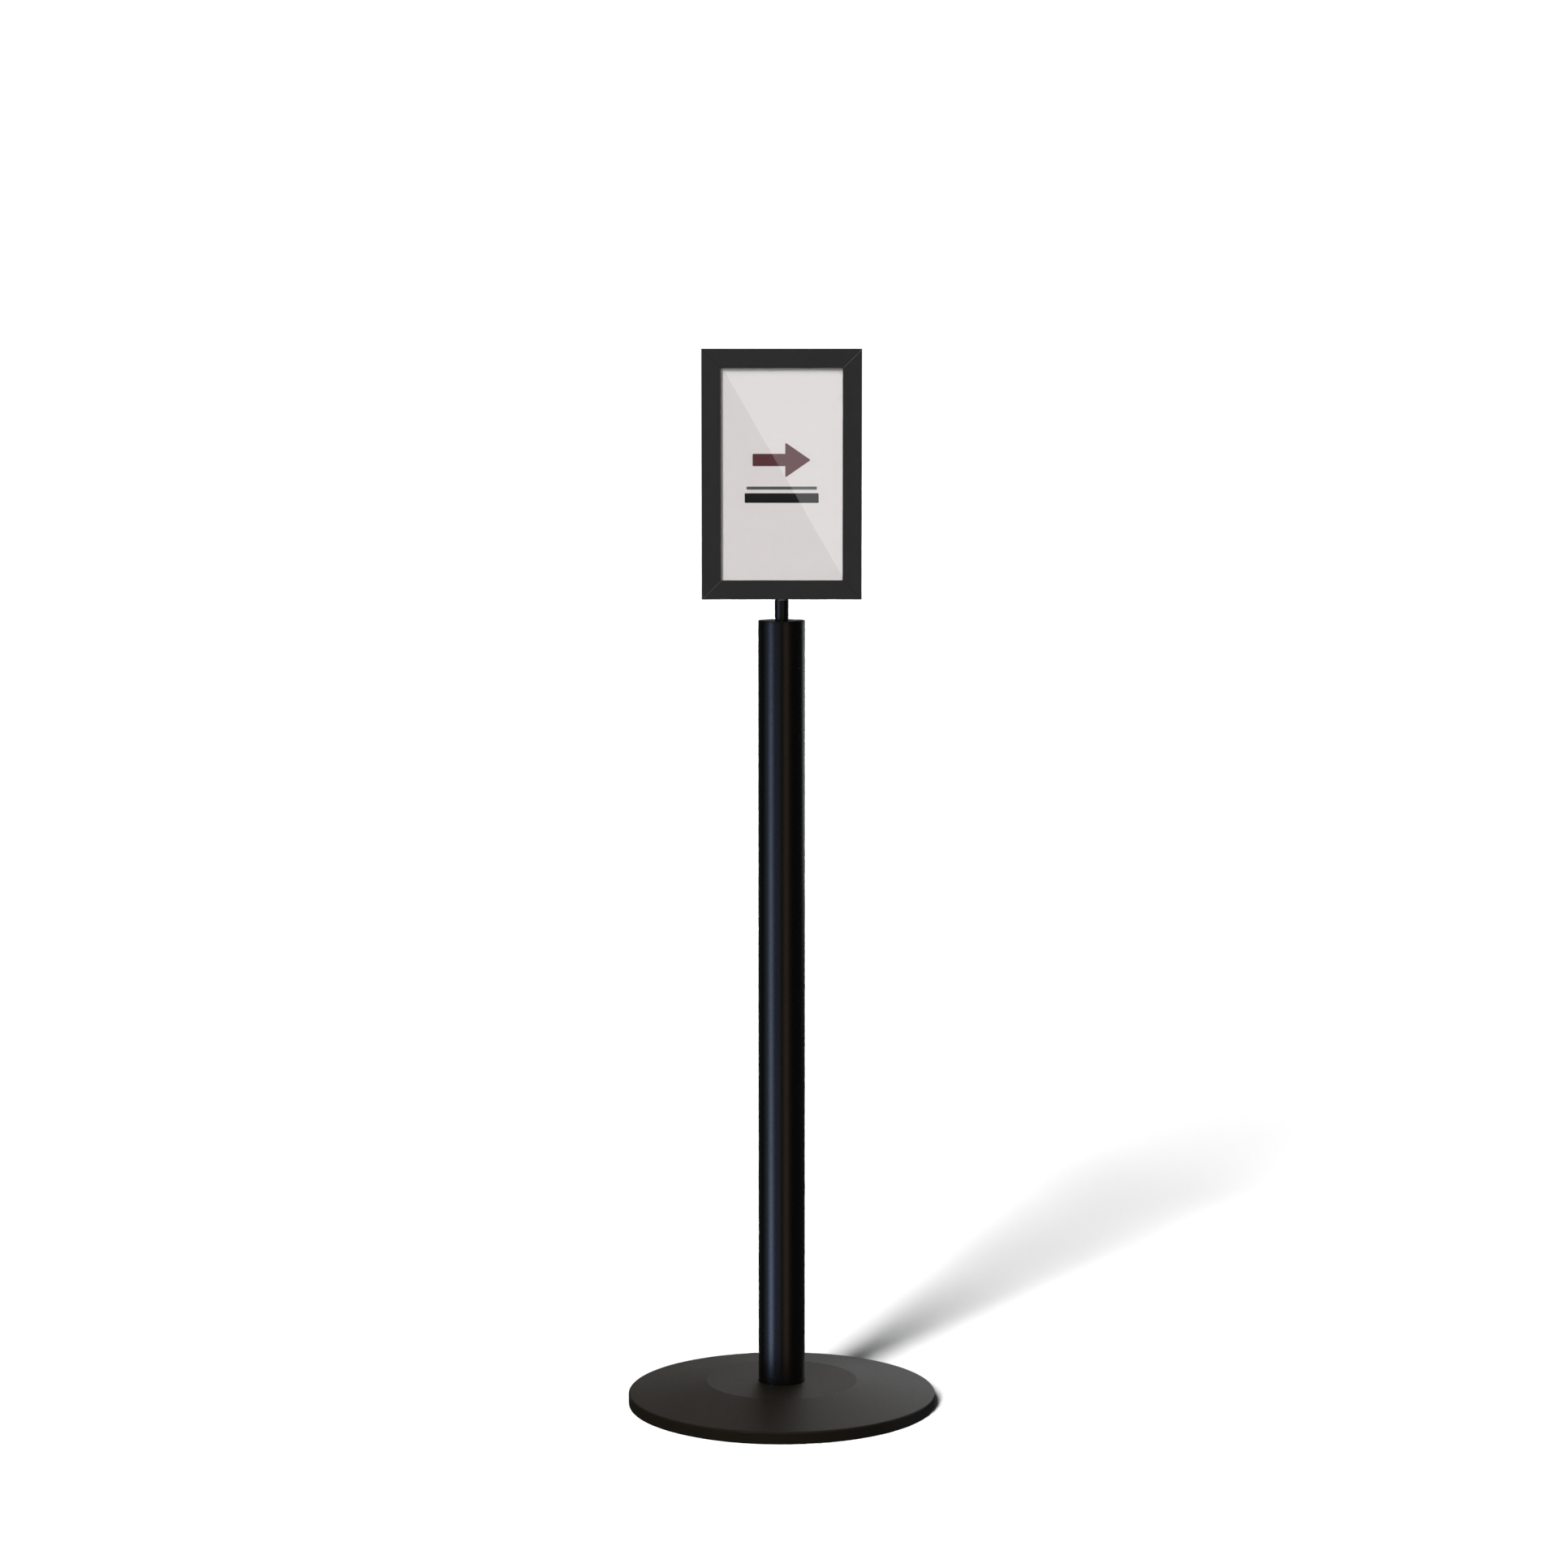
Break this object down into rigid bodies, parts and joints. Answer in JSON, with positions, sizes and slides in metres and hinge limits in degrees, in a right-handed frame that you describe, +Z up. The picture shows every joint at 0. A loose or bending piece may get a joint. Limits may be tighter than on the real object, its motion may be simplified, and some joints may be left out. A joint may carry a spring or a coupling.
{
  "type": "sign stand",
  "caption": "Free-standing sign stand: weighted round base, round post, turning neck and a mitred top-loading sign frame.",
  "frame": {"origin": "on the floor, under the centre of the round base", "axes": "+Z up along the post; the front of the sign faces -Y; +X is on the right of a person facing the sign"},
  "size_m": [0.3556, 0.3556, 1.2164],
  "materials": {
    "rubber": "matte moulded rubber",
    "cast_iron": "as cast, black primer",
    "textured_black": "fine-textured black powder coat",
    "zinc_steel": "bright zinc plate",
    "satin_black": "satin black powder coat",
    "black_nylon": "moulded black nylon",
    "pale_nylon": "natural nylon",
    "grey_nylon": "moulded grey nylon",
    "frame_black": "matte black coated aluminium extrusion",
    "key_aluminium": "mill finish",
    "black_screw": "black oxide",
    "acrylic": "clear acrylic sheet, polished edges",
    "card": "matte card with a printed arrow and plain bars"
  },
  "bodies": {
    "stand": {"floor_ring": "rubber", "base_weight": "cast_iron", "base_cover": "textured_black", "base_bolt": "zinc_steel", "base_plate_washer": "zinc_steel", "base_lock_washer": "zinc_steel", "post_foot": "zinc_steel", "post_tube": "satin_black", "post_cap": "satin_black", "neck_bush": "black_nylon", "thrust_washer": "pale_nylon"},
    "head": {"neck_spindle": "satin_black", "disc_spring": "zinc_steel", "retaining_washer": "zinc_steel", "lock_nut": "zinc_steel", "lock_nut_ring": "pale_nylon", "neck_washer": "grey_nylon", "anchor_plate": "zinc_steel", "rest_pads": "rubber", "bottom_rail": "frame_black", "left_rail": "frame_black", "right_rail": "frame_black", "top_rail_front": "frame_black", "top_rail_rear": "frame_black", "corner_keys_front": "key_aluminium", "corner_keys_rear": "key_aluminium", "key_screws": "black_screw"},
    "front_lens": {"front_lens": "acrylic"},
    "card": {"sign_card": "card"},
    "rear_lens": {"rear_lens": "acrylic"}
  },
  "joints": [
    {"name": "head_swivel", "type": "hinge", "parent": "stand", "child": "head", "pos_m": [0, 0, 0.895], "axis": [0, 0, 1], "continuous": true},
    {"name": "front_lens_slide", "type": "slide", "parent": "head", "child": "front_lens", "axis": [0, 0, 1], "range_m": [0, 0.28]},
    {"name": "card_slide", "type": "slide", "parent": "head", "child": "card", "axis": [0, 0, 1], "range_m": [0, 0.28]},
    {"name": "rear_lens_slide", "type": "slide", "parent": "head", "child": "rear_lens", "axis": [0, 0, 1], "range_m": [0, 0.28]}
  ]
}
